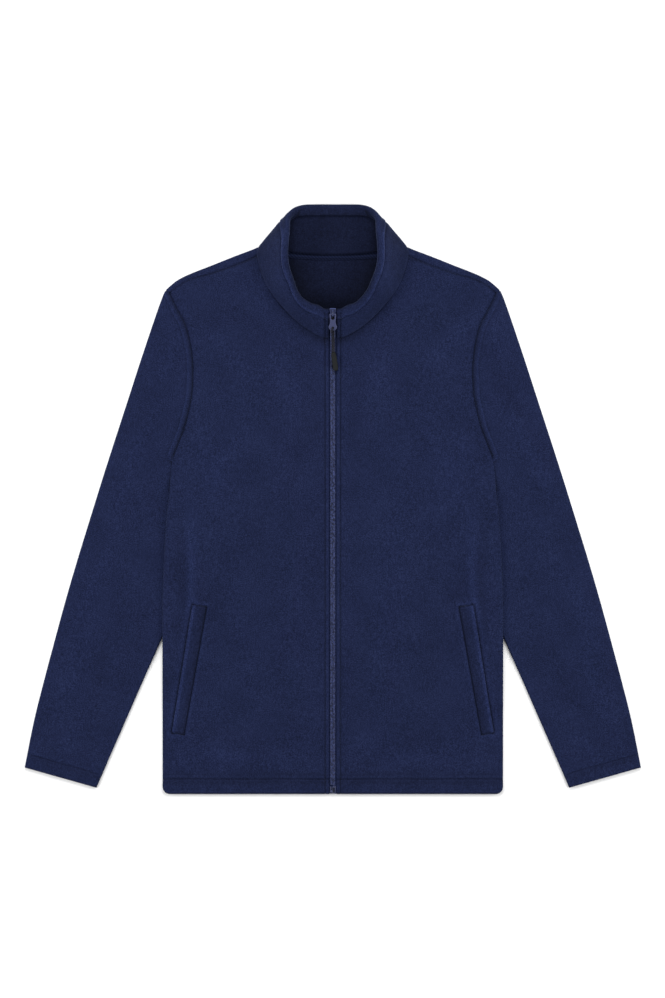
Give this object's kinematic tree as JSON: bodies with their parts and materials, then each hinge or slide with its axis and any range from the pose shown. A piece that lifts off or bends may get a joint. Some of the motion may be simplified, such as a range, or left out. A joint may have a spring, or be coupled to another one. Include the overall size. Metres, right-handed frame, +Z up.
{
  "type": "fleece zip jacket",
  "caption": "Long-sleeved fleece jacket laid flat, with a stand collar, a full-length zip with a corded pull and slanted welt pockets.",
  "frame": {"origin": "on the floor under the middle of the jacket's outline, on the back panel's underside", "axes": "+X towards the wearer's left sleeve, +Y towards the collar, +Z up from the floor through the front"},
  "size_m": [0.813, 0.7772, 0.0478],
  "materials": {
    "fleece": "short brushed nap, matt",
    "tape": "fine woven tape",
    "zip_coil": "satin nylon coil",
    "painted_metal": "satin paint on die-cast zinc",
    "cord": "braided polyester",
    "grip": "matt moulded rubber"
  },
  "bodies": {
    "jacket": {"back": "fleece", "front_left": "fleece", "front_right": "fleece", "sleeve_left": "fleece", "sleeve_right": "fleece", "collar_outer": "fleece", "collar_inner": "fleece", "neck_tape": "tape", "pocket_welt_left": "fleece", "pocket_welt_right": "fleece", "zip_tape_left": "tape", "zip_tape_right": "tape", "zip_chain": "zip_coil", "zip_box": "painted_metal", "zip_slider": "painted_metal"},
    "puller": {"pull_tab": "painted_metal", "puller_cord": "cord", "puller_grip": "grip"}
  },
  "joints": [
    {"name": "puller_swing", "type": "hinge", "parent": "jacket", "child": "puller", "pos_m": [0, 0.24233, 0.03414], "axis": [-1, 0, 0], "range_deg": [0, 150]}
  ]
}
